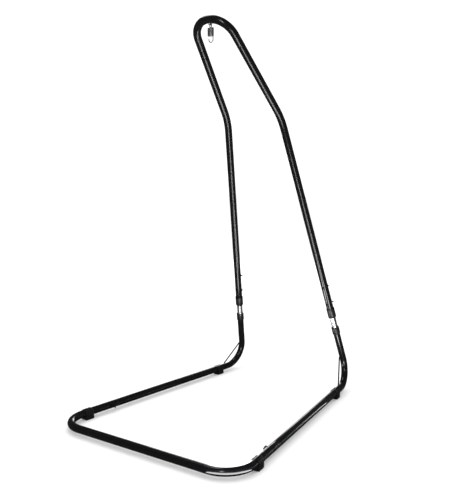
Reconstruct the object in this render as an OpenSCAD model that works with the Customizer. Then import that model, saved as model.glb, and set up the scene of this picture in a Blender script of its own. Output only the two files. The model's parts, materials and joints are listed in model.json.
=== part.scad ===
// Hanging-chair stand: a floor frame, two raked side frames and a height-adjustable hoop
// that carries a spring hook. X is left to right, -Y is the front, Z is up, floor at Z = 0.

/* [Floor frame] */
// Distance between the side arm centrelines at the front bar
base_front_w = 1122; // [980:2:1250]
// Distance between the side arm centrelines at the rear bends
base_rear_w = 788; // [680:2:900]
// Front bar centreline to the corner of the rear bends
base_depth = 1483; // [1300:1:1800]
// Height of the floor frame's centreline
arm_h = 34; // [28:1:45]
// Outer diameter of the floor frame and lower tubes
base_od = 40; // [34:0.5:48]
// Wall of the front tube
base_wall = 1.5; // [1:0.1:3]
// Centreline radius of the two front corners
corner_bend_r = 140; // [90:5:170]
// Centreline radius of the two rear bends
rear_bend_r = 120; // [80:5:140]
// Front corner to the rim where a side tube plugs in
socket_rim_s = 391; // [340:1:470]
// Length of the side tube's reduced end inside the front tube
plug_len = 95; // [80:1:110]
// Radial room round the reduced end, which lets a side frame turn a little
plug_clearance = 1.5; // [1.4:0.1:2]

/* [Legs] */
// Distance between the leg centrelines at the kinks
kink_w = 360; // [320:2:440]
// How far the kinks stand in front of the rear bends
kink_fwd = 486; // [400:1:560]
// Height of the kinks
kink_h = 1616; // [1450:1:1800]
// Centreline radius of the kinks
kink_bend_r = 300; // [200:5:400]
// Outer diameter of the upper legs and hoop
leg_od = 42; // [40:0.5:46]
// Wall of the upper legs and hoop
leg_wall = 1.5; // [1:0.1:2]
// Outer diameter of the bright inner tubes
inner_od = 35; // [31:0.5:36]
// Wall of the inner tubes
inner_wall = 2; // [1.5:0.1:3]
// Top of the lower tube, measured along the leg from the rear corner
lower_top_s = 366; // [340:1:400]
// Bright tube left showing between the two collars
exposed_len = 66; // [62:1:120]
// Travel of the hoop and legs below the shown height
travel_down = 60; // [40:1:60]
// Travel of the hoop and legs above the shown height
travel_up = 100; // [60:1:110]

/* [Hoop] */
// Lean of the upper legs and hoop from the vertical
upper_lean = 42.4; // [36:0.1:48]
// Kink to the centre of the hoop's arc
upper_len = 525; // [450:1:600]
// Centreline radius of the hoop
hoop_r = 117; // [95:1:140]
// Hoop joint, measured along the upper leg from the kink
hoop_joint_s = 480; // [380:1:490]
// Length of the hoop's reduced ends inside the legs
hoop_plug_len = 60; // [45:1:90]

/* [Collars and braces] */
// Length of a lower collar
lower_collar_len = 43; // [30:1:60]
// Length of an upper collar
upper_collar_len = 61; // [40:1:75]
// Wall of the collars outside the tube
collar_wall = 3; // [2:0.1:4]
// Thickness of the collar lips that close the tube ends
collar_lip = 6; // [4:0.5:9]
// Diameter of the brace rods
brace_d = 8; // [6:0.5:12]
// Brace weld on the side arm, from the rear corner
brace_arm_s = 214; // [195:1:260]
// Brace weld on the leg, from the rear corner
brace_leg_s = 188; // [172:1:220]

/* [Fasteners] */
// Diameter of the clamp bolts
bolt_d = 8; // [6:0.5:9]
// Lower clamp bolt, measured along the leg from the rear corner
low_bolt_s = 529; // [515:1:560]
// Distance between the two clamp bolts of a leg
bolt_gap = 112; // [70:1:125]
// Base bolt, measured from the front corner
base_bolt_s = 342; // [320:1:345]
// Span over the ears of a wing nut
wing_span = 31; // [26:1:36]
// Height of a wing nut over its washer
wing_h = 17; // [14:0.5:20]

/* [Feet] */
// Length of a foot along its tube
foot_len = 50; // [40:1:60]
// Wall of the foot's clip
foot_wall = 3.5; // [2.5:0.1:5]
// Width of the foot's pad
pad_w = 44; // [36:1:48]
// Front feet, from the front corner
front_foot_s = 190; // [190:1:230]
// Rear feet, from the rear corner
rear_foot_s = 252; // [252:1:320]

/* [Spring] */
// Outer diameter of the spring
spring_od = 33; // [30:0.5:42]
// Wire of the spring and hooks
wire_d = 5; // [4.5:0.1:6]
// Number of turns in the closed coil
spring_turns = 9; // [6:1:12]
// Centreline radius of the hanger eye
eye_r = 11; // [11:0.1:15]
// Bar of the hanger eye
eye_d = 5; // [4.5:0.1:6]
// Centreline radius of the top hook
top_hook_r = 7.5; // [7.5:0.1:9]
// Centreline radius of the lower hook
low_hook_r = 13; // [12:0.1:16]

/* [Hidden] */
$fn = 48;

// Fits and small sizes
press_gap = 0.05;       // radial gap of pieces driven together
slide_gap = 0.9;        // radial gap between an upper collar and its inner tube
hole_gap = 0.3;         // radial gap round a bolt in a tube wall
slot_gap = 2.5;         // room each side of a bolt in an inner tube's slot
nut_gap = 0.05;         // radial running gap of a wing nut on its bolt
seat_gap = 0.3;         // gap under a wing nut, and between eye and hook
rim_gap = 1;            // gap between a side tube's shoulder and the front tube's rim
cut = 1;                // how far a cut runs past the face it opens
lap = 1;                // how far a straight laps onto the bend beside it
hook_lap = 0.6;         // the same where a hook's arc meets its shank
bend_draw = 0.98;       // a bar's thickness in a bend, as a share of its straights'
step_lap = 5;           // how far a stepped bar starts inside the wider one
tube_end_margin = 25;   // inner tube left above its slot
inner_sunk = 156;       // length of inner tube driven into the lower tube
washer_t = 1.6;
head_t = 3.5;           // rise of a domed bolt head

// Radii
base_r = base_od / 2;
leg_r = leg_od / 2;
leg_bore_r = leg_r - leg_wall;
inner_r = inner_od / 2;
lower_bore_r = inner_r + press_gap;
plug_r = base_r - base_wall - plug_clearance;
bolt_r = bolt_d / 2;
head_r = bolt_d * 1.1;
wire_r = wire_d / 2;
coil_r = spring_od / 2 - wire_r;

function unit(v) = v / norm(v);
function flip(p, side) = [side * p[0], p[1], p[2]];

// Frame corners of the right-hand side, with the rear corner at Y = 0 for now
arm_flat = unit([(base_front_w - base_rear_w) / 2, -base_depth, 0]);
leg_flat = unit([(kink_w - base_rear_w) / 2, -kink_fwd, kink_h - arm_h]);
rear_turn = 180 - acos(arm_flat * leg_flat);
rear_normal = unit(cross(arm_flat, leg_flat));
rear_centre_y = unit(arm_flat + leg_flat)[1] * rear_bend_r / cos(rear_turn / 2);
rearmost = rear_centre_y + rear_bend_r * sqrt(1 - pow(rear_normal[1], 2)) + base_r;
// Shift that puts the origin under the middle of the whole stand
rear_y = (base_depth + base_r - rearmost) / 2;

rear_v = [base_rear_w / 2, rear_y, arm_h];
front_v = [base_front_w / 2, rear_y - base_depth, arm_h];
kink_v = [kink_w / 2, rear_y - kink_fwd, kink_h];
arm_dir = unit(rear_v - front_v);
leg_dir = unit(kink_v - rear_v);

// Upper legs meet at an apex over the hoop, and the hoop is the arc inside that corner
half_angle = atan(kink_w / 2 / upper_len) - asin(hoop_r / norm([kink_w / 2, upper_len]));
lean_dir = [0, -sin(upper_lean), cos(upper_lean)];
apex_v = [0, kink_v[1], kink_v[2]] + lean_dir * kink_w / 2 / tan(half_angle);
upper_dir = unit(apex_v - kink_v);
hoop_joint = kink_v + hoop_joint_s * upper_dir;
hoop_top = [0, kink_v[1], kink_v[2]] + (upper_len + hoop_r) * lean_dir;

// Stations along the leg, from the rear corner
upper_end_s = lower_top_s + 2 * collar_lip + exposed_len;
inner_start_s = lower_top_s - inner_sunk;
high_bolt_s = low_bolt_s + bolt_gap;
slot_low_s = low_bolt_s - travel_down - bolt_r - slot_gap;
slot_high_s = high_bolt_s + travel_up + bolt_r + slot_gap;
inner_end_s = slot_high_s + tube_end_margin;

// Bolt directions: a clamp bolt points back, a base bolt points inwards
clamp_dir = unit([0, 1, 0] - leg_dir[1] * leg_dir);
base_bolt_dir = unit(cross(arm_dir, [0, 0, 1])) * -1;
hoop_bolt_dir = cross([1, 0, 0], lean_dir);

// Rest turn of each wing nut about its bolt
clamp_turns = [[20, 75], [100, 150]];
base_turns = [35, 80];

// Spring, hung from an eye on the hoop's inner side
eye_centre = hoop_top - leg_r * lean_dir;
eye_bottom = eye_centre - eye_r * lean_dir;
top_hook_z = eye_bottom[2] + eye_d / 2 + seat_gap + wire_r - top_hook_r;
coil_pitch = wire_d * 0.97;
coil_len = coil_pitch * (spring_turns - 1);
hook_bend_r = wire_d;
hook_shank = 2 * wire_d;
low_shank = 3 * wire_d;
coil_arm_z = top_hook_z - hook_shank;
coil_top_z = coil_arm_z - wire_d;
coil_bottom_z = coil_top_z - coil_len;
low_hook_top_z = coil_bottom_z - wire_r;
low_hook_z = low_hook_top_z - low_shank;

// Puts children at a point with their Z along z_to and their X as near x_to as it can be
module place(at, z_to, x_to) {
    z = unit(z_to);
    y = unit(cross(z, x_to));
    x = cross(y, z);
    multmatrix([
        [x[0], y[0], z[0], at[0]],
        [x[1], y[1], z[1], at[1]],
        [x[2], y[2], z[2], at[2]],
        [0, 0, 0, 1]
    ]) children();
}

// Round bar from a to b
module bar(a, b, r) {
    side = abs(unit(b - a)[2]) > 0.9 ? [1, 0, 0] : [0, 0, 1];
    place(a, b - a, side) cylinder(h = norm(b - a), r = r);
}

// How far a bend of radius bend_r reaches from corner i of a path along both its straights
function turn_at(p, i) = 180 - acos(unit(p[i - 1] - p[i]) * unit(p[i + 1] - p[i]));
function reach_at(p, i, bend_r) = bend_r * tan(turn_at(p, i) / 2);
function is_end(p, i) = i == 0 || i == len(p) - 1;

// Round bar along the points p, its corners bent to radius bend_r and its ends longer by past.
// A bend draws the bar down a little, and each straight laps onto it.
module bent_bar(p, bend_r, r, past = 0) {
    for (i = [0 : len(p) - 2]) {
        along = unit(p[i + 1] - p[i]);
        low = is_end(p, i) ? -past : reach_at(p, i, bend_r) - lap;
        high = is_end(p, i + 1) ? -past : reach_at(p, i + 1, bend_r) - lap;
        bar(p[i] + low * along, p[i + 1] - high * along, r);
    }
    for (i = [1 : len(p) - 2]) {
        to_a = unit(p[i - 1] - p[i]);
        to_b = unit(p[i + 1] - p[i]);
        start = p[i] + reach_at(p, i, bend_r) * to_a;
        centre = p[i] + unit(to_a + to_b) * bend_r / cos(turn_at(p, i) / 2);
        place(centre, cross(start - centre, -to_a), start - centre)
            rotate_extrude(angle = turn_at(p, i)) translate([bend_r, 0]) circle(r * bend_draw);
    }
}

// Arc of round wire in the XZ plane about the origin
module wire_arc(arc_r, r, from, angle) {
    rotate([90, 0, 0]) rotate([0, 0, from])
        rotate_extrude(angle = angle) translate([arc_r, 0]) circle(r * bend_draw, $fn = 32);
}

// Points on the right-hand side
function on_leg(s) = rear_v + s * leg_dir;
function on_arm(s) = front_v + s * arm_dir;
function from_rear(s) = rear_v - s * arm_dir;

// Straight bolt hole right through a tube at p
module cross_hole(p, dir, r, reach) {
    bar(p - reach * dir, p + reach * dir, r);
}

// Floor frame ----------------------------------------------------------------

front_path = [
    flip(on_arm(socket_rim_s), -1), flip(front_v, -1), front_v, on_arm(socket_rim_s)
];

module front_base_tube() color("black") difference() {
    bent_bar(front_path, corner_bend_r, base_r);
    bent_bar(front_path, corner_bend_r, base_r - base_wall, cut);
    for (side = [-1, 1])
        cross_hole(flip(on_arm(base_bolt_s), side), flip(base_bolt_dir, side),
            bolt_r + hole_gap, base_r + cut);
}

// Clip-on foot: an open ring round the tube over a flat pad, its length along X
module foot() color("#1b1b1b") {
    pad_top = arm_h - base_r / 2;
    slit_w = base_r * 1.1;
    difference() {
        union() {
            translate([-foot_len / 2, 0, arm_h]) rotate([0, 90, 0])
                cylinder(h = foot_len, r = base_r + foot_wall);
            translate([-foot_len / 2, -pad_w / 2, 0]) cube([foot_len, pad_w, pad_top]);
        }
        translate([-foot_len / 2 - cut, 0, arm_h]) rotate([0, 90, 0])
            cylinder(h = foot_len + 2 * cut, r = base_r + press_gap);
        translate([-foot_len / 2 - cut, -slit_w / 2, arm_h + base_r / 2])
            cube([foot_len + 2 * cut, slit_w, base_r + foot_wall]);
    }
}

module foot_at(p, side) {
    q = flip(p, side);
    place([q[0], q[1], 0], [0, 0, 1], flip(arm_dir, side)) foot();
}

module front_foot(side) foot_at(on_arm(front_foot_s), side);
module rear_foot(side) foot_at(from_rear(rear_foot_s), side);

// Side frames ----------------------------------------------------------------

module lower_tube(side) color("black") {
    rim = on_arm(socket_rim_s + rim_gap);
    plug_end = on_arm(socket_rim_s - plug_len);
    difference() {
        union() {
            bent_bar([flip(on_leg(lower_top_s), side), flip(rear_v, side), flip(rim, side)],
                rear_bend_r, base_r);
            bar(flip(rim + step_lap * arm_dir, side), flip(plug_end, side), plug_r);
        }
        bent_bar([
            flip(on_leg(lower_top_s), side),
            flip(rear_v, side),
            flip(on_arm(socket_rim_s + plug_len), side)
        ], rear_bend_r, lower_bore_r, cut);
        bar(flip(on_arm(socket_rim_s + plug_len + step_lap), side),
            flip(on_arm(socket_rim_s - plug_len - cut), side), plug_r - base_wall);
        cross_hole(flip(on_arm(base_bolt_s), side), flip(base_bolt_dir, side),
            bolt_r + slot_gap, base_r);
    }
}

module brace_rod(side) color("black") difference() {
    bar(flip(from_rear(brace_arm_s), side), flip(on_leg(brace_leg_s), side), brace_d / 2);
    bar(flip(rear_v, side), flip(on_arm(socket_rim_s), side), base_r);
    bar(flip(rear_v, side), flip(on_leg(lower_top_s), side), base_r);
}

module inner_tube(side) color("silver") difference() {
    bar(flip(on_leg(inner_start_s), side), flip(on_leg(inner_end_s), side), inner_r);
    bar(flip(on_leg(inner_start_s - cut), side), flip(on_leg(inner_end_s + cut), side),
        inner_r - inner_wall);
    place(flip(on_leg(slot_low_s), side), leg_dir_of(side), clamp_dir_of(side))
        translate([-leg_r, -bolt_r - slot_gap, 0])
            cube([leg_od, 2 * (bolt_r + slot_gap), slot_high_s - slot_low_s]);
}

function leg_dir_of(side) = flip(leg_dir, side);
function clamp_dir_of(side) = flip(clamp_dir, side);

// Cup over the end of the lower tube, its lip round the inner tube
module lower_collar(side) color("#202020") difference() {
    top_s = lower_top_s + collar_lip;
    bar(flip(on_leg(top_s - lower_collar_len), side), flip(on_leg(top_s), side),
        base_r + collar_wall);
    bar(flip(on_leg(top_s - lower_collar_len - cut), side), flip(on_leg(lower_top_s), side),
        base_r + press_gap);
    bar(flip(on_leg(lower_top_s - cut), side), flip(on_leg(top_s + cut), side),
        inner_r + press_gap);
}

// Hoop and upper legs --------------------------------------------------------

module upper_leg(side) color("black") difference() {
    path = [flip(on_leg(upper_end_s), side), flip(kink_v, side), flip(hoop_joint, side)];
    bent_bar(path, kink_bend_r, leg_r);
    bent_bar(path, kink_bend_r, leg_bore_r, cut);
    for (s = [low_bolt_s, high_bolt_s])
        cross_hole(flip(on_leg(s), side), clamp_dir_of(side), bolt_r + hole_gap, leg_r + cut);
    cross_hole(hoop_bolt_at(side), hoop_bolt_dir, hoop_bolt_r + hole_gap, leg_r + cut);
}

// Cup over the end of an upper leg, tapered below, its lip sliding on the inner tube
module upper_collar(side) color("#202020") {
    low_s = upper_end_s - collar_lip;
    outer_r = leg_r + collar_wall;
    place(flip(on_leg(low_s), side), leg_dir_of(side), clamp_dir_of(side)) difference() {
        union() {
            cylinder(h = collar_lip, r1 = outer_r - collar_wall, r2 = outer_r);
            translate([0, 0, collar_lip])
                cylinder(h = upper_collar_len - collar_lip, r = outer_r);
        }
        translate([0, 0, collar_lip])
            cylinder(h = upper_collar_len, r = leg_r + press_gap);
        translate([0, 0, -cut])
            cylinder(h = collar_lip + 2 * cut, r = inner_r + slide_gap);
    }
}

hoop_bolt_r = bolt_r * 0.75;
function hoop_bolt_at(side) = flip(hoop_joint - upper_dir * hoop_plug_len / 2, side);

hoop_path = [flip(hoop_joint, -1), apex_v, hoop_joint];

module top_hoop() color("black") difference() {
    ends = hoop_joint - hoop_plug_len * upper_dir;
    union() {
        bent_bar(hoop_path, hoop_r, leg_r);
        for (side = [-1, 1])
            bar(flip(hoop_joint + step_lap * upper_dir, side), flip(ends, side),
                leg_bore_r - press_gap);
    }
    bent_bar([flip(ends, -1), apex_v, ends], hoop_r, leg_bore_r - press_gap - leg_wall, cut);
    for (side = [-1, 1])
        cross_hole(hoop_bolt_at(side), hoop_bolt_dir, hoop_bolt_r + hole_gap, leg_r);
}

// Half ring welded under the hoop
module hanger_eye() color("black") difference() {
    translate(eye_centre) rotate([upper_lean, 0, 0]) wire_arc(eye_r, eye_d / 2, 0, 360);
    bent_bar(hoop_path, hoop_r, leg_r);
    translate(eye_centre) rotate([upper_lean, 0, 0])
        translate([-eye_r - eye_d, -eye_d, 0]) cube(2 * (eye_r + eye_d));
}

// Fasteners ------------------------------------------------------------------

// Domed bolt along Z: the head's seat at -grip, the shank's end at reach
module bolt(r, grip, reach) {
    dome_r = (pow(head_r, 2) + pow(head_t, 2)) / (2 * head_t);
    translate([0, 0, -grip]) cylinder(h = grip + reach, r = r);
    intersection() {
        translate([0, 0, -grip - head_t + dome_r]) sphere(dome_r, $fn = 96);
        translate([0, 0, -grip - head_t]) cylinder(h = head_t, r = head_r);
    }
}

module washer(seat) {
    translate([0, 0, seat]) difference() {
        cylinder(h = washer_t, r = head_r);
        translate([0, 0, -cut]) cylinder(h = washer_t + 2 * cut, r = bolt_r + press_gap);
    }
}

// Wing nut on its bolt, seated at height seat over the tube's centreline
module wing_nut(seat, turn) color("#242424") {
    hub_r = bolt_d * 0.9;
    hub_h = wing_h * 0.55;
    ear_r = wing_h * 0.34;
    ear_t = bolt_d * 0.35;
    ear_x = wing_span / 2 - ear_r;
    ear_z = wing_h - ear_r;
    translate([0, 0, seat + washer_t + seat_gap]) rotate([0, 0, turn]) difference() {
        union() {
            cylinder(h = hub_h, r1 = hub_r, r2 = hub_r * 0.85);
            rotate([90, 0, 0]) translate([0, 0, -ear_t / 2]) linear_extrude(ear_t)
                for (side = [-1, 1]) {
                    translate([side * ear_x, ear_z]) circle(ear_r);
                    polygon([
                        [0, hub_h * 0.2],
                        [side * (ear_x + ear_r * 0.7), ear_z - ear_r * 0.7],
                        [side * (ear_x - ear_r * 0.7), ear_z + ear_r * 0.7],
                        [0, hub_h]
                    ]);
                }
        }
        translate([0, 0, -cut]) cylinder(h = wing_h + 2 * cut, r = bolt_r + nut_gap);
    }
}

module at_clamp(side, s) place(flip(on_leg(s), side), clamp_dir_of(side), leg_dir_of(side)) children();

module at_base_bolt(side)
    place(flip(on_arm(base_bolt_s), side), flip(base_bolt_dir, side), [0, 0, 1]) children();

module clamp_bolts() color("#303030")
    for (side = [-1, 1], s = [low_bolt_s, high_bolt_s])
        at_clamp(side, s) bolt(bolt_r, leg_r, leg_r + wing_h);

module clamp_washers() color("#303030")
    for (side = [-1, 1], s = [low_bolt_s, high_bolt_s]) at_clamp(side, s) washer(leg_r);

module base_bolts() color("#303030")
    for (side = [-1, 1]) at_base_bolt(side) bolt(bolt_r, base_r, base_r + wing_h);

module base_washers() color("#303030")
    for (side = [-1, 1]) at_base_bolt(side) washer(base_r);

module clamp_wing_nut(side, s, turn) at_clamp(side, s) wing_nut(leg_r, turn);

module base_wing_nut(side, turn) at_base_bolt(side) wing_nut(base_r, turn);

module hoop_bolts() color("#303030")
    for (side = [-1, 1])
        place(hoop_bolt_at(side), hoop_bolt_dir, [1, 0, 0]) bolt(hoop_bolt_r, leg_r, leg_r + 4);

module hoop_nuts() color("#303030")
    for (side = [-1, 1])
        place(hoop_bolt_at(side), hoop_bolt_dir, [1, 0, 0])
            translate([0, 0, leg_r]) difference() {
                union() {
                    cylinder(h = 4.5, r = hoop_bolt_r * 1.9, $fn = 6);
                    translate([0, 0, 4.5]) cylinder(h = 2.5, r1 = hoop_bolt_r * 1.5, r2 = hoop_bolt_r * 0.7);
                }
                translate([0, 0, -cut]) cylinder(h = 4 + cut + press_gap, r = hoop_bolt_r + nut_gap);
            }

// Spring ---------------------------------------------------------------------

// Hook through the eye, its shank and its arm out to the coil
module spring_top_hook() color("dimgray") translate([0, eye_bottom[1], 0]) {
    arm_x = sqrt(pow(coil_r, 2) - pow(top_hook_r, 2));
    translate([0, 0, top_hook_z]) rotate([0, 0, 90]) wire_arc(top_hook_r, wire_r, -40, 220);
    bent_bar([
        [0, -top_hook_r, top_hook_z + hook_lap],
        [0, -top_hook_r, coil_arm_z],
        [arm_x, -top_hook_r, coil_arm_z]
    ], hook_bend_r, wire_r);
}

// Closed coil
module spring_coil() color("dimgray")
    translate([0, eye_bottom[1], coil_bottom_z]) rotate_extrude()
        for (turn = [0 : spring_turns - 1])
            translate([coil_r, turn * coil_pitch]) circle(wire_r);

// Shank down from the coil and the open hook that carries the chair
module spring_lower_hook() color("dimgray")
    translate([coil_r - low_hook_r, eye_bottom[1], low_hook_z]) {
        wire_arc(low_hook_r, wire_r, -190, 190);
        bar([low_hook_r, 0, -hook_lap], [low_hook_r, 0, low_shank], wire_r);
    }

front_base_tube();
front_foot(-1);  // left_front_foot
front_foot(1);  // right_front_foot
base_bolts();
base_washers();
lower_tube(-1);  // left_lower_tube
lower_tube(1);  // right_lower_tube
brace_rod(-1);  // left_brace_rod
brace_rod(1);  // right_brace_rod
inner_tube(-1);  // left_inner_tube
inner_tube(1);  // right_inner_tube
lower_collar(-1);  // left_lower_collar
lower_collar(1);  // right_lower_collar
rear_foot(-1);  // left_rear_foot
rear_foot(1);  // right_rear_foot
upper_leg(-1);  // left_upper_leg
upper_leg(1);  // right_upper_leg
upper_collar(-1);  // left_upper_collar
upper_collar(1);  // right_upper_collar
top_hoop();
hanger_eye();
hoop_bolts();
hoop_nuts();
clamp_bolts();
clamp_washers();
clamp_wing_nut(-1, low_bolt_s, clamp_turns[0][0]);  // left_low_wing_nut
clamp_wing_nut(-1, high_bolt_s, clamp_turns[0][1]);  // left_high_wing_nut
clamp_wing_nut(1, low_bolt_s, clamp_turns[1][0]);  // right_low_wing_nut
clamp_wing_nut(1, high_bolt_s, clamp_turns[1][1]);  // right_high_wing_nut
base_wing_nut(-1, base_turns[0]);  // left_base_wing_nut
base_wing_nut(1, base_turns[1]);  // right_base_wing_nut
spring_top_hook();
spring_coil();
spring_lower_hook();
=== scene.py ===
"""Looks of a hanging-chair stand: glossy black tubes, bright inner tubes and a spring hook."""

import json
import math

import bmesh
import bpy
from bpy.props import FloatProperty, FloatVectorProperty, IntProperty, PointerProperty
from mathutils import Matrix, Vector


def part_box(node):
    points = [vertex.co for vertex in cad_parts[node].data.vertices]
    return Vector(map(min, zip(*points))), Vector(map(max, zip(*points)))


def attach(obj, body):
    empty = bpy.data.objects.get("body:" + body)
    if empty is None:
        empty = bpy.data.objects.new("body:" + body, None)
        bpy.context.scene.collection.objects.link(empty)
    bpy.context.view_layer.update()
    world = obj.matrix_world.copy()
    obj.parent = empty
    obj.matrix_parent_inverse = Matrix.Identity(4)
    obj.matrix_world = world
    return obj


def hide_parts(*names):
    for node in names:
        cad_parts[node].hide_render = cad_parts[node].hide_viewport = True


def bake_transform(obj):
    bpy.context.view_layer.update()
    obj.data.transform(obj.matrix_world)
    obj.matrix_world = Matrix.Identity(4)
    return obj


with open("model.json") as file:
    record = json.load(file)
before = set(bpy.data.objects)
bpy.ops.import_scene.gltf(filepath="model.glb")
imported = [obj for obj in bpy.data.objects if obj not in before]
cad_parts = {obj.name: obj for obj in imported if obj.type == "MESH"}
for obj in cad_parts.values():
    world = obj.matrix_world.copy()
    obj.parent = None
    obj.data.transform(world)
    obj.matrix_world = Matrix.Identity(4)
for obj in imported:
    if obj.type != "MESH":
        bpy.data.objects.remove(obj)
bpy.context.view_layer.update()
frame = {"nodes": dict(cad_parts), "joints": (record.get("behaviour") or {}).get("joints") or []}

bl_info = {
    "name": "Hanging-chair stand",
    "version": (1, 0, 0),
    "blender": (4, 5, 0),
    "location": "View3D > Sidebar > Stand",
    "description": "Tubes, fittings, spring and studio of a hanging-chair stand",
    "category": "Object",
}

SIDES = {"left": -1, "right": 1}
JOINTS = {joint["name"]: joint for joint in frame["joints"]}

# Mesh detail: edges round a bar, and steps along it
RING = 48
ROD_RING = 24
WIRE_RING = 16
STRAIGHT_PIECES = 4
DEGREES_PER_STEP = 4
FEWEST_STEPS = 8
HOOK_STEPS = 28
STEPS_PER_TURN = 40
SMOOTH_ANGLE = math.radians(40)
SHARP_ANGLE = math.radians(35)

# Roundings and small gaps, in metres
TUBE_ROUNDING = 0.0006
ROD_ROUNDING = 0.0004
WIRE_ROUNDING = 0.0009
FOOT_ROUNDING = 0.0012
COLLAR_ROUNDING = 0.0009
NUT_ROUNDING = 0.0004
BOLT_ROUNDING = 0.0003
WELD_DISTANCE = 2e-6
SIDE_TUBE_GAP = 0.0008
HOOP_GAP = 0.0005
FLOOR_DROP = 0.0005

# Bends in the spring's wire
TOP_HOOK_TIP = math.radians(40)
LOWER_HOOK_TURN = math.radians(200)
WIRE_BEND = 0.0045
LEAD_BEND = 0.006

# Finish: the part of 0 to 1 that the noise fills, the scuffs, the coat and its gleam
NOISE_LOW, NOISE_HIGH = 0.3, 0.7
SCUFF_STRETCH = (6.0, 6.0, 0.7)
SCUFF_EDGE = 12.0
SCUFF_DULLING = 0.18
COAT_ROUGHNESS = 0.12
GLEAM = 0.5

# Studio: the world and the floor are dimmed in reflections, so that the tubes stay black
WORLD_STRENGTH, WORLD_REFLECTED = 1.2, 0.07
FLOOR_SIZE = 30
FLOOR_ROUGHNESS = 0.85
FLOOR_WHITE, FLOOR_REFLECTED = 0.94, 0.06
STRIP_HEIGHT, STRIP_WIDTH = 0.03, 0.2
LIGHTS_AIM = (0, 0, 0.9)
CAMERA_PLACE = (2.040, -2.912, 1.318)
CAMERA_AZIMUTH, CAMERA_ELEVATION = math.radians(34.07), math.radians(6.125)
CAMERA_SENSOR, CAMERA_LENS = 36, 49.81


# Sizes and colours ------------------------------------------------------------


class StandSizes(bpy.types.PropertyGroup):
    """Driving sizes of the stand's tubes and spring."""

    floor_tube_r: FloatProperty(
        name="Floor tube radius", description="Outside radius of the floor frame's tubes",
        default=0.020, unit="LENGTH")
    leg_tube_r: FloatProperty(
        name="Leg tube radius", description="Outside radius of the upper legs and hoop",
        default=0.021, unit="LENGTH")
    brace_r: FloatProperty(
        name="Brace radius", description="Radius of the brace rods", default=0.004, unit="LENGTH")
    corner_bend: FloatProperty(
        name="Front corner radius", description="Centreline radius of the front corners",
        default=0.140, unit="LENGTH")
    rear_bend: FloatProperty(
        name="Rear bend radius", description="Centreline radius of the rear bends",
        default=0.120, unit="LENGTH")
    kink_bend: FloatProperty(
        name="Kink radius", description="Centreline radius of the kinks in the legs",
        default=0.300, unit="LENGTH")
    kink_height: FloatProperty(
        name="Kink height", description="Height of the kinks over the floor", default=1.616,
        unit="LENGTH")
    upper_lean: FloatProperty(
        name="Upper lean", description="Lean of the upper legs from the vertical",
        default=math.radians(42.4), subtype="ANGLE")
    upper_length: FloatProperty(
        name="Upper length", description="Kinks to the centre of the hoop's arc", default=0.525,
        unit="LENGTH")
    hoop_bend: FloatProperty(
        name="Hoop radius", description="Centreline radius of the hoop", default=0.117,
        unit="LENGTH")
    hoop_joint: FloatProperty(
        name="Hoop joint", description="Kink to the hoop joint along the leg", default=0.480,
        unit="LENGTH")
    wire_r: FloatProperty(
        name="Wire radius", description="Radius of the spring's wire", default=0.0025,
        unit="LENGTH")
    spring_turns: IntProperty(
        name="Spring turns", description="Turns of the closed coil", default=9, min=4)


class StandColours(bpy.types.PropertyGroup):
    """Colours of the stand's finishes."""

    coat: FloatVectorProperty(
        name="Powder coat", description="Colour of the coated tubes", subtype="COLOR", size=3,
        default=(0.0025, 0.0025, 0.003))
    zinc: FloatVectorProperty(
        name="Zinc", description="Colour of the bright inner tubes", subtype="COLOR", size=3,
        default=(0.8, 0.82, 0.85))
    moulding: FloatVectorProperty(
        name="Moulding", description="Colour of collars and feet", subtype="COLOR", size=3,
        default=(0.005, 0.005, 0.0055))
    spring: FloatVectorProperty(
        name="Spring steel", description="Colour of the spring", subtype="COLOR", size=3,
        default=(0.3, 0.3, 0.31))
    hardware: FloatVectorProperty(
        name="Hardware", description="Colour of bolts and wing nuts", subtype="COLOR", size=3,
        default=(0.006, 0.006, 0.0065))


def sizes():
    return bpy.context.scene.stand_sizes


def colours():
    return bpy.context.scene.stand_colours


# Layout, read back from the frame ---------------------------------------------


def mirrored(point, side):
    return Vector((side * abs(point[0]), point[1], point[2]))


def corners(side):
    """Rear corner, front corner, kink and apex of one side, on the tubes' centrelines."""
    low = Vector(JOINTS["right_low_nut_turn"]["pos_m"])
    high = Vector(JOINTS["right_high_nut_turn"]["pos_m"])
    bolt = Vector(JOINTS["right_side_turn"]["pos_m"])
    leg = (high - low).normalized()
    rear = low + leg * (bolt.z - low.z) / leg.z
    arm = (bolt - rear).normalized()
    front_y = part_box("front_base_tube")[0][1] + sizes().floor_tube_r
    front = rear + arm * (front_y - rear.y) / arm.y
    kink = rear + leg * (sizes().kink_height - rear.z) / leg.z
    lean = Vector((0, -math.sin(sizes().upper_lean), math.cos(sizes().upper_lean)))
    length, bend = sizes().upper_length, sizes().hoop_bend
    half = math.atan(kink.x / length) - math.asin(bend / math.hypot(kink.x, length))
    apex = Vector((0, kink.y, kink.z)) + lean * kink.x / math.tan(half)
    return [mirrored(p, side) for p in (rear, front, kink, apex)]


def end_on(node, origin, along, highest):
    """Where a node's own box cuts a line, measured on the line's steepest axis."""
    axis = max(range(3), key=lambda i: abs(along[i]))
    return origin + along * (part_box(node)[highest][axis] - origin[axis]) / along[axis]


# Shader groups ----------------------------------------------------------------


def link(tree, source, target):
    tree.links.new(source, target)


def new_group(name, inputs, outputs):
    tree = bpy.data.node_groups.new(name, "ShaderNodeTree")
    for label, default in inputs:
        socket = tree.interface.new_socket(label, in_out="INPUT", socket_type="NodeSocketFloat")
        socket.default_value = default
    for label in outputs:
        tree.interface.new_socket(label, in_out="OUTPUT", socket_type="NodeSocketFloat")
    return tree, tree.nodes.new("NodeGroupInput"), tree.nodes.new("NodeGroupOutput")


def noise(tree, scale, detail, vector):
    node = tree.nodes.new("ShaderNodeTexNoise")
    node.inputs["Detail"].default_value = detail
    link(tree, vector, node.inputs["Vector"])
    link(tree, scale, node.inputs["Scale"])
    return node.outputs["Fac"]


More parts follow.
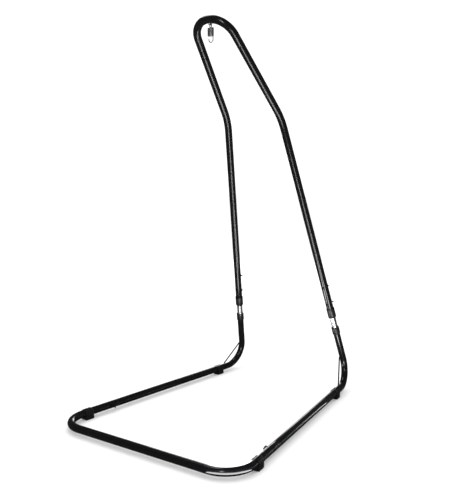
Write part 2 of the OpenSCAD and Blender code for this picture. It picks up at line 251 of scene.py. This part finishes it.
def math_node(tree, operation, first, second):
    node = tree.nodes.new("ShaderNodeMath")
    node.operation = operation
    for socket, value in zip(node.inputs, (first, second)):
        if isinstance(value, (int, float)):
            socket.default_value = value
        else:
            link(tree, value, socket)
    return node.outputs[0]


def build_grain():
    """Fine orange peel over slow waves: a height, and a broad mottle from 0 to 1."""
    tree, given, out = new_group(
        "Surface grain", [("Peel", 700.0), ("Waves", 40.0), ("Share", 0.35)], ["Height", "Mottle"])
    place = tree.nodes.new("ShaderNodeTexCoord").outputs["Object"]
    peel = noise(tree, given.outputs["Peel"], 2.0, place)
    waves = noise(tree, given.outputs["Waves"], 3.0, place)
    slow = math_node(tree, "MULTIPLY", waves, given.outputs["Share"])
    link(tree, math_node(tree, "ADD", peel, slow), out.inputs["Height"])
    link(tree, waves, out.inputs["Mottle"])
    return tree


def build_scuffs():
    """Sparse short scratches drawn out along Z, as a mask from 0 to 1."""
    tree, given, out = new_group("Scuffs", [("Scale", 60.0), ("Sparse", 0.66)], ["Mask"])
    place = tree.nodes.new("ShaderNodeTexCoord").outputs["Object"]
    stretch = tree.nodes.new("ShaderNodeMapping")
    stretch.inputs["Scale"].default_value = SCUFF_STRETCH
    link(tree, place, stretch.inputs["Vector"])
    marks = noise(tree, given.outputs["Scale"], 4.0, stretch.outputs["Vector"])
    over = math_node(tree, "SUBTRACT", marks, given.outputs["Sparse"])
    mask = tree.nodes.new("ShaderNodeClamp")
    link(tree, math_node(tree, "MULTIPLY", over, SCUFF_EDGE), mask.inputs["Value"])
    link(tree, mask.outputs[0], out.inputs["Mask"])
    return tree


def group_node(tree, group, **values):
    node = tree.nodes.new("ShaderNodeGroup")
    node.node_tree = group
    for label, value in values.items():
        node.inputs[label].default_value = value
    return node


def shade_range(tree, mask, low, high):
    """A number that runs from low to high as mask crosses the part that the noise fills."""
    node = tree.nodes.new("ShaderNodeMapRange")
    node.inputs["From Min"].default_value = NOISE_LOW
    node.inputs["From Max"].default_value = NOISE_HIGH
    node.inputs["To Min"].default_value = low
    node.inputs["To Max"].default_value = high
    link(tree, mask, node.inputs["Value"])
    return node.outputs["Result"]


def tint(tree, mask, colour, other):
    node = tree.nodes.new("ShaderNodeMix")
    node.data_type = "RGBA"
    node.inputs["A"].default_value = (*colour, 1.0)
    node.inputs["B"].default_value = (*other, 1.0)
    link(tree, mask, node.inputs["Factor"])
    return node.outputs["Result"]


def scaled(colour, factor):
    return tuple(min(1.0, c * factor) for c in colour)


def finish(name, colour, rough, metallic=0.0, coat=0.0, peel=700.0, waves=40.0, depth=3e-5,
           contrast=1.5, sparse=0.68, scuff_colour=2.5):
    """A finish with mottled colour, uneven gloss, fine relief and a few scuffs."""
    made = bpy.data.materials.new(name)
    made.use_nodes = True
    tree = made.node_tree
    shader = tree.nodes["Principled BSDF"]
    shader.inputs["Metallic"].default_value = metallic
    shader.inputs["Coat Weight"].default_value = coat
    shader.inputs["Coat Roughness"].default_value = COAT_ROUGHNESS
    shader.inputs["Specular IOR Level"].default_value = GLEAM
    grain = group_node(tree, shared_group("Surface grain", build_grain), Peel=peel, Waves=waves)
    scuffs = group_node(tree, shared_group("Scuffs", build_scuffs), Sparse=sparse)
    dark, light = scaled(colour, 1 / contrast), scaled(colour, contrast)
    base = tint(tree, grain.outputs["Mottle"], dark, light)
    worn = tree.nodes.new("ShaderNodeMix")
    worn.data_type = "RGBA"
    worn.inputs["B"].default_value = (*scaled(colour, scuff_colour), 1.0)
    link(tree, scuffs.outputs["Mask"], worn.inputs["Factor"])
    link(tree, base, worn.inputs["A"])
    link(tree, worn.outputs["Result"], shader.inputs["Base Color"])
    gloss = shade_range(tree, grain.outputs["Mottle"], rough[0], rough[1])
    dulled = math_node(tree, "MULTIPLY", scuffs.outputs["Mask"], SCUFF_DULLING)
    link(tree, math_node(tree, "ADD", gloss, dulled), shader.inputs["Roughness"])
    bump = tree.nodes.new("ShaderNodeBump")
    bump.inputs["Distance"].default_value = depth
    link(tree, grain.outputs["Height"], bump.inputs["Height"])
    link(tree, bump.outputs["Normal"], shader.inputs["Normal"])
    return made


def shared_group(name, build):
    return bpy.data.node_groups.get(name) or build()


def powder_coat():
    return finish("powder_coat", colours().coat, (0.16, 0.24), coat=0.15, peel=900.0, depth=2.5e-5)


def zinc():
    return finish("zinc", colours().zinc, (0.2, 0.36), metallic=1.0, peel=260.0, waves=25.0,
                  depth=1.5e-5, contrast=1.12, sparse=0.6, scuff_colour=0.72)


def moulding():
    return finish("moulding", colours().moulding, (0.38, 0.5), peel=1500.0, depth=4e-5)


def spring_steel():
    return finish("spring_steel", colours().spring, (0.28, 0.42), metallic=1.0, peel=1200.0,
                  waves=160.0, depth=1.5e-5, contrast=1.35, scuff_colour=1.6)


def hardware():
    return finish("hardware", colours().hardware, (0.3, 0.42), metallic=0.5, peel=1300.0,
                  waves=220.0, depth=3e-5)


def material(build):
    return bpy.data.materials.get(build.__name__) or build()


# Mesh helpers -----------------------------------------------------------------


def mesh_object(name, bm, build_material):
    bmesh.ops.recalc_face_normals(bm, faces=bm.faces)
    mesh = bpy.data.meshes.new(name)
    bm.to_mesh(mesh)
    bm.free()
    mesh.shade_smooth()
    mesh.set_sharp_from_angle(angle=SMOOTH_ANGLE)
    mesh.materials.append(material(build_material))
    piece = bpy.data.objects.new(name, mesh)
    bpy.context.scene.collection.objects.link(piece)
    return piece


def looking_along(point, direction):
    return Matrix.Translation(point) @ direction.to_track_quat("Z", "Y").to_matrix().to_4x4()


def edges_of(geometry):
    return [item for item in geometry if isinstance(item, bmesh.types.BMEdge)]


def verts_of(geometry):
    return [item for item in geometry if isinstance(item, bmesh.types.BMVert)]


class Sweep:
    """A round bar drawn out step by step from its first end."""

    def __init__(self, point, direction, radius, ring):
        self.bm = bmesh.new()
        self.at = Vector(point)
        self.along = Vector(direction).normalized()
        made = bmesh.ops.create_circle(
            self.bm, cap_ends=False, segments=ring, radius=radius,
            matrix=looking_along(self.at, self.along))
        self.edges = list({edge for vert in made["verts"] for edge in vert.link_edges})
        self.first = list(self.edges)

    def straight(self, length, pieces=1):
        step = self.along * length / pieces
        for _ in range(pieces):
            made = bmesh.ops.extrude_edge_only(self.bm, edges=self.edges)
            bmesh.ops.translate(self.bm, verts=verts_of(made["geom"]), vec=step)
            self.edges = edges_of(made["geom"])
            self.edges = [e for e in self.edges if len(e.link_faces) == 1]
        self.at = self.at + step * pieces

    def arc(self, axis, radius, angle, steps, rise=Vector()):
        """Turns about axis, the centre lying on the side that the bar turns to."""
        axis = Vector(axis).normalized()
        centre = self.at + axis.cross(self.along).normalized() * radius
        ring = {vert for edge in self.edges for vert in edge.verts}
        made = bmesh.ops.spin(
            self.bm, geom=list(ring) + self.edges, cent=centre, axis=axis, dvec=rise / steps,
            angle=angle, steps=steps, use_merge=False, use_duplicate=False)
        self.edges = edges_of(made["geom_last"])
        turn = Matrix.Rotation(angle, 3, axis)
        self.at = centre + turn @ (self.at - centre) + rise
        self.along = turn @ self.along

    def close(self, rounding):
        """Caps both ends and rounds their rims."""
        for rim in (self.first, self.edges):
            cap = bmesh.ops.contextual_create(self.bm, geom=rim)["faces"]
            bmesh.ops.bevel(
                self.bm, geom=[edge for face in cap for edge in face.edges], offset=rounding,
                offset_type="OFFSET", affect="EDGES", segments=3, profile=0.5, material=-1,
                clamp_overlap=True)
        return self.bm


def bent_tube(points, bend, radius):
    """A closed round bar along points, with its corners bent to one radius."""
    sweep = Sweep(points[0], points[1] - points[0], radius, RING)
    for i in range(1, len(points) - 1):
        ahead = (points[i + 1] - points[i]).normalized()
        turn = sweep.along.angle(ahead)
        reach = bend * math.tan(turn / 2)
        sweep.straight((points[i] - sweep.at).length - reach, STRAIGHT_PIECES)
        steps = max(FEWEST_STEPS, int(math.degrees(turn) / DEGREES_PER_STEP))
        sweep.arc(sweep.along.cross(ahead), bend, turn, steps)
        sweep.along = ahead
    sweep.straight((points[-1] - sweep.at).length, STRAIGHT_PIECES)
    return sweep.close(TUBE_ROUNDING)


def softened(node, body, build_material, slot_name, width):
    """A copy of a CAD node with its sharp edges rounded over, standing for the node."""
    bm = bmesh.new()
    bm.from_mesh(frame["nodes"][node].data)
    bmesh.ops.remove_doubles(bm, verts=bm.verts, dist=WELD_DISTANCE)
    joined = [edge for edge in bm.edges if len(edge.link_faces) == 2]
    sharp = [edge for edge in joined if edge.calc_face_angle() > SHARP_ANGLE]
    bmesh.ops.bevel(
        bm, geom=sharp, offset=width, offset_type="OFFSET", affect="EDGES", segments=2,
        profile=0.5, material=-1, clamp_overlap=True)
    piece = mesh_object(node + "_finished", bm, build_material)
    return settle(piece, body, slot_name, node)


def settle(piece, body, slot_name, *nodes):
    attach(piece, body)
    if nodes:
        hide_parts(*nodes)
    return piece


# Pieces -----------------------------------------------------------------------


class STAND_OT_floor_frame(bpy.types.Operator):
    """Make the U-shaped front tube and the two side tubes with their rear bends"""

    bl_idname = "stand.floor_frame"
    bl_label = "Floor frame"

    def execute(self, context):
        radius = sizes().floor_tube_r
        rims = {}
        for label, side in SIDES.items():
            rear, front, _, _ = corners(side)
            arm = (rear - front).normalized()
            rim = end_on("front_base_tube", front, arm, 1)
            rim += arm * radius * -abs(arm.x)
            rims[label] = (rim, front, arm, rear)
        path = [rims["left"][0], rims["left"][1], rims["right"][1], rims["right"][0]]
        tube = mesh_object(
            "front_tube", bent_tube(path, sizes().corner_bend, radius), powder_coat)
        settle(tube, "floor_frame", "black_powder_coat", "front_base_tube")
        for label, (rim, _, arm, rear) in rims.items():
            low = Vector(JOINTS[f"{label}_low_nut_turn"]["pos_m"])
            leg = (low - rear).normalized()
            top = end_on(f"{label}_lower_tube", rear, leg, 1) - leg * radius * math.hypot(*leg.xy)
            gap = arm * SIDE_TUBE_GAP
            tube = mesh_object(
                f"{label}_side_tube", bent_tube([top, rear, rim + gap], sizes().rear_bend, radius),
                powder_coat)
            settle(tube, f"{label}_side", "black_powder_coat", f"{label}_lower_tube")
        return {"FINISHED"}


class STAND_OT_legs(bpy.types.Operator):
    """Make the kinked upper legs"""

    bl_idname = "stand.legs"
    bl_label = "Legs"

    def execute(self, context):
        radius = sizes().leg_tube_r
        for label, side in SIDES.items():
            rear, _, kink, apex = corners(side)
            leg = (kink - rear).normalized()
            foot = end_on(f"{label}_upper_leg", rear, leg, 0) + leg * radius * math.hypot(*leg.xy)
            joint = kink + (apex - kink).normalized() * sizes().hoop_joint
            tube = mesh_object(
                f"{label}_leg", bent_tube([foot, kink, joint], sizes().kink_bend, radius),
                powder_coat)
            settle(tube, "upper", "black_powder_coat", f"{label}_upper_leg")
        return {"FINISHED"}


class STAND_OT_hoop(bpy.types.Operator):
    """Make the hoop that joins the two legs"""

    bl_idname = "stand.hoop"
    bl_label = "Hoop"

    def execute(self, context):
        ends = []
        for side in SIDES.values():
            _, _, kink, apex = corners(side)
            ends.append(kink + (apex - kink).normalized() * (sizes().hoop_joint + HOOP_GAP))
        path = [ends[0], corners(1)[3], ends[1]]
        tube = mesh_object(
            "hoop", bent_tube(path, sizes().hoop_bend, sizes().leg_tube_r), powder_coat)
        settle(tube, "upper", "black_powder_coat", "top_hoop")
        return {"FINISHED"}


class STAND_OT_braces(bpy.types.Operator):
    """Make the brace rods"""

    bl_idname = "stand.braces"
    bl_label = "Braces"

    def execute(self, context):
        radius = sizes().brace_r
        for label, side in SIDES.items():
            low, high = (Vector(corner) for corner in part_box(f"{label}_brace_rod"))
            rear, front, kink, _ = corners(side)
            arm_end = Vector((0, low.y + radius, low.z + radius))
            leg_end = Vector((0, high.y - radius, high.z - radius))
            for end, start, along in ((arm_end, rear, front - rear), (leg_end, rear, kink - rear)):
                end.x = start.x + along.x * (end.y - start.y) / along.y
            rod = mesh_object(f"{label}_brace", straight_rod(arm_end, leg_end, radius), powder_coat)
            settle(rod, f"{label}_side", "black_powder_coat", f"{label}_brace_rod")
        return {"FINISHED"}


def straight_rod(start, stop, radius):
    sweep = Sweep(start, stop - start, radius, ROD_RING)
    sweep.straight((stop - start).length, STRAIGHT_PIECES)
    return sweep.close(ROD_ROUNDING)


class STAND_OT_fittings(bpy.types.Operator):
    """Round over the collars, feet, bolts, nuts and eye, and plate the inner tubes"""

    bl_idname = "stand.fittings"
    bl_label = "Fittings"

    def execute(self, context):
        for label in SIDES:
            side = f"{label}_side"
            softened(f"{label}_front_foot", "floor_frame", moulding, "black_plastic", FOOT_ROUNDING)
            softened(f"{label}_rear_foot", side, moulding, "black_plastic", FOOT_ROUNDING)
            softened(f"{label}_upper_collar", "upper", moulding, "black_plastic", COLLAR_ROUNDING)
            softened(f"{label}_lower_collar", side, moulding, "black_plastic", COLLAR_ROUNDING)
            for place in ("low", "high", "base"):
                softened(f"{label}_{place}_wing_nut", f"{label}_{place}_nut", hardware,
                         "black_hardware", NUT_ROUNDING)
        for node in ("hoop_bolts", "hoop_nuts", "clamp_bolts", "clamp_washers"):
            softened(node, "upper", hardware, "black_hardware", BOLT_ROUNDING)
        for node in ("base_bolts", "base_washers"):
            softened(node, "floor_frame", hardware, "black_hardware", BOLT_ROUNDING)
        softened("hanger_eye", "upper", powder_coat, "black_powder_coat", BOLT_ROUNDING)
        for label in SIDES:
            show(f"{label}_inner_tube", zinc)
        return {"FINISHED"}


def show(node, build_material):
    """Gives a CAD node its finish."""
    piece = frame["nodes"][node]
    for place in piece.material_slots:
        place.material = material(build_material)


class STAND_OT_spring(bpy.types.Operator):
    """Wind the spring, its hook through the eye and its open lower hook from one wire"""

    bl_idname = "stand.spring"
    bl_label = "Spring"

    def execute(self, context):
        wire = sizes().wire_r
        low_top, high_top = (Vector(corner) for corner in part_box("spring_top_hook"))
        low_coil, high_coil = (Vector(corner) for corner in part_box("spring_coil"))
        low_hook, high_hook = (Vector(corner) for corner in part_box("spring_lower_hook"))
        cad_wire = (high_hook.y - low_hook.y) / 2
        middle_y = (low_coil.y + high_coil.y) / 2
        coil_r = (high_coil.x - low_coil.x) / 2 - cad_wire
        hook_r = middle_y - low_top.y - cad_wire
        hook_z = high_top.z - cad_wire - hook_r
        turns = sizes().spring_turns
        pitch = (high_coil.z - low_coil.z - 2 * cad_wire) / (turns - 1)
        arm_z = high_coil.z - cad_wire + pitch / 2
        bend = WIRE_BEND
        tip = TOP_HOOK_TIP
        start = Vector((0, middle_y + hook_r * math.cos(tip), hook_z - hook_r * math.sin(tip)))
        sweep = Sweep(start, (0, math.sin(tip), math.cos(tip)), wire, WIRE_RING)
        sweep.arc((1, 0, 0), hook_r, math.pi + tip, HOOK_STEPS)
        sweep.straight(hook_z - arm_z - bend)
        sweep.arc(sweep.along.cross(Vector((1, 0, 0))), bend, math.pi / 2, FEWEST_STEPS)
        lead = LEAD_BEND
        lead_x = math.sqrt((coil_r - lead) ** 2 - (hook_r - lead) ** 2)
        sweep.straight(lead_x - bend)
        swing = math.pi / 2 - math.atan2(hook_r - lead, lead_x)
        sweep.arc((0, 0, 1), lead, swing, FEWEST_STEPS)
        drop = -pitch * (turns - 0.5)
        joined = math.atan2(sweep.at.y - middle_y, sweep.at.x)
        last = -math.asin(bend / coil_r)
        wound = 2 * math.pi * (turns - 1) + (last - joined)
        sweep.arc((0, 0, 1), coil_r, wound, STEPS_PER_TURN * turns, Vector((0, 0, drop)))
        sweep.arc(sweep.along.cross(Vector((0, 0, -1))), bend, math.pi / 2, FEWEST_STEPS)
        low_r = (high_hook.x - low_hook.x) / 2 - cad_wire
        bottom = low_hook.z + cad_wire + low_r
        sweep.straight(sweep.at.z - bottom)
        sweep.arc((0, 1, 0), low_r, LOWER_HOOK_TURN, HOOK_STEPS)
        piece = mesh_object("spring_wire", sweep.close(WIRE_ROUNDING), spring_steel)
        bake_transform(piece)
        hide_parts("spring_top_hook", "spring_coil", "spring_lower_hook")
        return {"FINISHED"}


# Stage ------------------------------------------------------------------------


def new_light(name, size, power):
    lamp = bpy.data.lights.new(name, "AREA")
    lamp.shape = "RECTANGLE"
    lamp.size, lamp.size_y = size
    lamp.energy = power
    light = bpy.data.objects.new(name, lamp)
    light.visible_camera = False
    bpy.context.scene.collection.objects.link(light)
    return light


def area_light(name, place, size, power):
    """A light over the floor, turned to the middle of the stand."""
    light = new_light(name, size, power)
    light.location = place
    light.rotation_euler = (Vector(LIGHTS_AIM) - Vector(place)).to_track_quat("-Z", "Y").to_euler()


def strip_light(name, start, stop, power):
    """A long narrow light just over the floor, shining up at the leaning legs."""
    start, stop = Vector(start), Vector(stop)
    way = stop - start
    light = new_light(name, (way.length, STRIP_WIDTH), power)
    light.location = (*(start + stop) / 2, STRIP_HEIGHT)
    light.rotation_euler = (math.pi, 0, math.atan2(way.y, way.x))


def lay_floor(scene):
    bm = bmesh.new()
    bmesh.ops.create_grid(bm, x_segments=1, y_segments=1, size=FLOOR_SIZE)
    bmesh.ops.translate(bm, verts=bm.verts, vec=(0, 0, -FLOOR_DROP))
    mesh = bpy.data.meshes.new("floor")
    bm.to_mesh(mesh)
    bm.free()
    paint = bpy.data.materials.new("floor_paint")
    paint.use_nodes = True
    tree = paint.node_tree
    shader = tree.nodes["Principled BSDF"]
    shader.inputs["Roughness"].default_value = FLOOR_ROUGHNESS
    rays = tree.nodes.new("ShaderNodeLightPath")
    colour = tint(
        tree, rays.outputs["Is Glossy Ray"], (FLOOR_WHITE,) * 3, (FLOOR_REFLECTED,) * 3)
    link(tree, colour, shader.inputs["Base Color"])
    mesh.materials.append(paint)
    floor = bpy.data.objects.new("floor", mesh)
    scene.collection.objects.link(floor)


def light_world(scene):
    world = bpy.data.worlds.new("studio")
    world.use_nodes = True
    tree = world.node_tree
    sky = tree.nodes["Background"]
    sky.inputs["Color"].default_value = (1, 1, 1, 1)
    dim = tree.nodes.new("ShaderNodeMapRange")
    dim.inputs["To Min"].default_value = WORLD_STRENGTH
    dim.inputs["To Max"].default_value = WORLD_REFLECTED
    rays = tree.nodes.new("ShaderNodeLightPath")
    link(tree, rays.outputs["Is Glossy Ray"], dim.inputs["Value"])
    link(tree, dim.outputs["Result"], sky.inputs["Strength"])
    scene.world = world


def set_camera(scene):
    """The photo's camera, as fitted to the corners and kinks seen."""
    lens = bpy.data.cameras.new("camera")
    lens.sensor_fit = "HORIZONTAL"
    lens.sensor_width = CAMERA_SENSOR
    lens.lens = CAMERA_LENS
    camera = bpy.data.objects.new("camera", lens)
    camera.location = CAMERA_PLACE
    back = Vector((
        math.sin(CAMERA_AZIMUTH) * math.cos(CAMERA_ELEVATION),
        -math.cos(CAMERA_AZIMUTH) * math.cos(CAMERA_ELEVATION),
        math.sin(CAMERA_ELEVATION)))
    camera.rotation_euler = back.to_track_quat("Z", "Y").to_euler()
    scene.collection.objects.link(camera)
    scene.camera = camera


class STAND_OT_stage(bpy.types.Operator):
    """Lay the pale floor and set the lights and the camera"""

    bl_idname = "stand.stage"
    bl_label = "Stage"

    def execute(self, context):
        lay_floor(context.scene)
        light_world(context.scene)
        area_light("front", (1.9, -4.6, 3.0), (0.4, 2.4), 45)
        area_light("back", (-3.6, 5.2, 1.5), (1.8, 1.8), 40)
        area_light("top", (-1.5, 0.6, 4.2), (1.2, 1.2), 20)
        strip_light("right_strip", (0.56, 0.4), (2.3, -2.6), 32)
        strip_light("left_strip", (-0.1, 0.3), (1.7, -2.7), 28)
        context.scene.view_settings.view_transform = "Standard"
        set_camera(context.scene)
        return {"FINISHED"}


STEPS = (
    STAND_OT_stage, STAND_OT_floor_frame, STAND_OT_legs, STAND_OT_hoop, STAND_OT_braces,
    STAND_OT_fittings, STAND_OT_spring,
)


class STAND_PT_panel(bpy.types.Panel):
    """The stand's sizes, colours and steps"""

    bl_idname = "STAND_PT_panel"
    bl_label = "Hanging-chair stand"
    bl_space_type = "VIEW_3D"
    bl_region_type = "UI"
    bl_category = "Stand"

    def draw(self, context):
        for group in (context.scene.stand_sizes, context.scene.stand_colours):
            box = self.layout.box()
            for name in group.__annotations__:
                box.prop(group, name)
        for step in STEPS:
            self.layout.operator(step.bl_idname)


CLASSES = (StandSizes, StandColours, *STEPS, STAND_PT_panel)


def register():
    for cls in CLASSES:
        bpy.utils.register_class(cls)
    bpy.types.Scene.stand_sizes = PointerProperty(type=StandSizes)
    bpy.types.Scene.stand_colours = PointerProperty(type=StandColours)


def unregister():
    del bpy.types.Scene.stand_colours
    del bpy.types.Scene.stand_sizes
    for cls in reversed(CLASSES):
        bpy.utils.unregister_class(cls)


def main():
    register()
    for step in STEPS:
        area, name = step.bl_idname.split(".")
        getattr(getattr(bpy.ops, area), name)()


if __name__ == "__main__":
    main()
